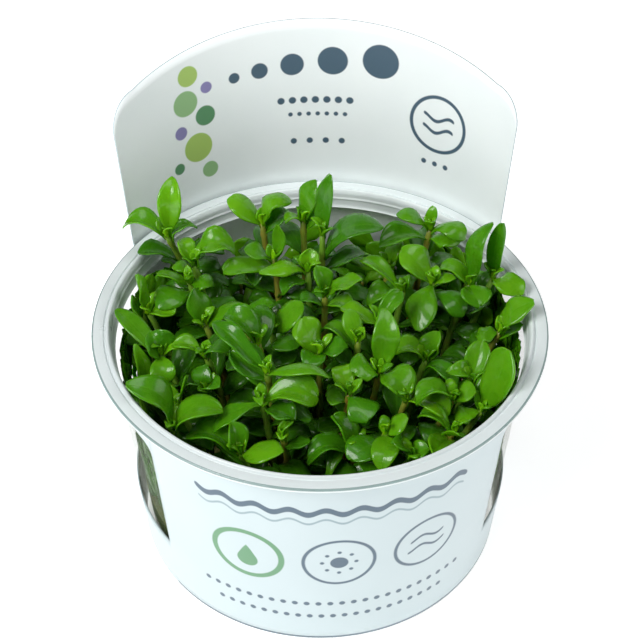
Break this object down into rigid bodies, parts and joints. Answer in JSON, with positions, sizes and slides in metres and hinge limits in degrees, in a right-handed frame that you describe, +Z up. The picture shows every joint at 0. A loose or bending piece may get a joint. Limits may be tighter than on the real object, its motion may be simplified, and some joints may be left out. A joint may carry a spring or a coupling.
{
  "type": "potted lemon bacopa",
  "caption": "Young lemon bacopa shoots growing from gel in a clear round cup, wrapped in a windowed paper sleeve that rises behind it as an arched card.",
  "frame": {"origin": "middle of the cup's base, on the surface that it stands on", "axes": "+Z up along the cup's axis, -Y towards the front of the sleeve, +Y towards the card behind the cup"},
  "size_m": [0.09, 0.0935, 0.0924],
  "materials": {
    "cup": "clear, slightly milky moulded polypropylene",
    "sleeve": "semi-matt coated white card",
    "gel": "clear agar gel",
    "shoot": "glossy fleshy leaves on green to reddish stems"
  },
  "bodies": {
    "root": {"cup": "cup", "label_sleeve": "sleeve", "growing_gel": "gel", "shoot_01": "shoot", "shoot_02": "shoot", "shoot_03": "shoot", "shoot_04": "shoot", "shoot_05": "shoot", "shoot_06": "shoot", "shoot_07": "shoot", "shoot_08": "shoot", "shoot_09": "shoot", "shoot_10": "shoot", "shoot_11": "shoot", "shoot_12": "shoot", "shoot_13": "shoot", "shoot_14": "shoot", "shoot_15": "shoot", "shoot_16": "shoot", "shoot_17": "shoot", "shoot_18": "shoot", "shoot_19": "shoot", "shoot_20": "shoot", "shoot_21": "shoot", "shoot_22": "shoot", "shoot_23": "shoot", "shoot_24": "shoot", "shoot_25": "shoot", "shoot_26": "shoot", "shoot_27": "shoot", "shoot_28": "shoot", "shoot_29": "shoot", "shoot_30": "shoot", "shoot_31": "shoot", "shoot_32": "shoot", "shoot_33": "shoot", "shoot_34": "shoot", "shoot_35": "shoot", "shoot_36": "shoot", "shoot_37": "shoot", "shoot_38": "shoot", "shoot_39": "shoot", "shoot_40": "shoot", "shoot_41": "shoot", "shoot_42": "shoot", "shoot_43": "shoot", "shoot_44": "shoot", "shoot_45": "shoot"}
  },
  "joints": []
}
